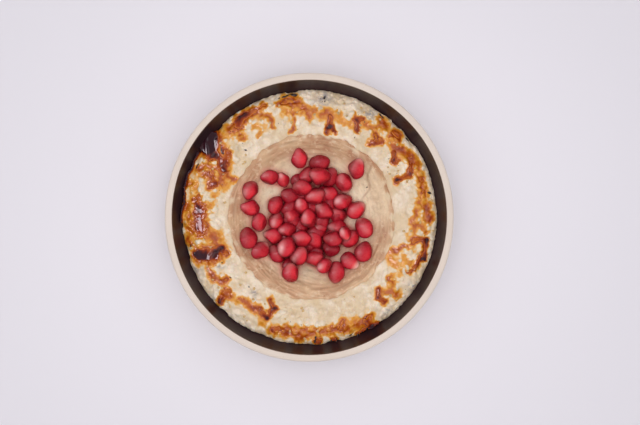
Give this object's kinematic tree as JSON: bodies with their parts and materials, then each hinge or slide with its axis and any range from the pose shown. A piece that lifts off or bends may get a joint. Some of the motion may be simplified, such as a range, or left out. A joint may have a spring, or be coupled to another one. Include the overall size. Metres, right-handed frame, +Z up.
{
  "type": "baba ganoush in a bowl",
  "caption": "Round dark-glazed stoneware bowl of chunky smoky aubergine dip with a smooth sesame-lined well, amber syrup and a loose heap of pomegranate arils.",
  "frame": {"origin": "centre of the bowl's foot ring, in the plane it stands on", "axes": "+Z up along the bowl's axis, +Y towards the back edge, +X to the right"},
  "size_m": [0.17, 0.17, 0.041],
  "materials": {
    "stoneware": "dark brown gloss glaze inside, warm cream satin rim and outside",
    "aubergine_dip": "cream food, moist chopped aubergine, stained amber by syrup",
    "sesame_spread": "beige food, smooth sesame paste with spoon marks",
    "pomegranate": "ruby red food, juicy and glossy"
  },
  "bodies": {
    "root": {"bowl": "stoneware", "baba_ganoush": "aubergine_dip", "sesame_spread": "sesame_spread", "aril_01": "pomegranate", "aril_02": "pomegranate", "aril_03": "pomegranate", "aril_04": "pomegranate", "aril_05": "pomegranate", "aril_06": "pomegranate", "aril_07": "pomegranate", "aril_08": "pomegranate", "aril_09": "pomegranate", "aril_10": "pomegranate", "aril_11": "pomegranate", "aril_12": "pomegranate", "aril_13": "pomegranate", "aril_14": "pomegranate", "aril_15": "pomegranate", "aril_16": "pomegranate", "aril_17": "pomegranate", "aril_18": "pomegranate", "aril_19": "pomegranate", "aril_20": "pomegranate", "aril_21": "pomegranate", "aril_22": "pomegranate", "aril_23": "pomegranate", "aril_24": "pomegranate", "aril_25": "pomegranate", "aril_26": "pomegranate", "aril_27": "pomegranate", "aril_28": "pomegranate", "aril_29": "pomegranate", "aril_30": "pomegranate", "aril_31": "pomegranate", "aril_32": "pomegranate", "aril_33": "pomegranate", "aril_34": "pomegranate", "aril_35": "pomegranate", "aril_36": "pomegranate", "aril_37": "pomegranate", "aril_38": "pomegranate", "aril_39": "pomegranate", "aril_40": "pomegranate", "aril_41": "pomegranate", "aril_42": "pomegranate", "aril_43": "pomegranate", "aril_44": "pomegranate", "aril_45": "pomegranate", "aril_46": "pomegranate", "aril_47": "pomegranate", "aril_48": "pomegranate", "aril_49": "pomegranate", "aril_50": "pomegranate", "aril_51": "pomegranate", "aril_52": "pomegranate"}
  },
  "joints": []
}
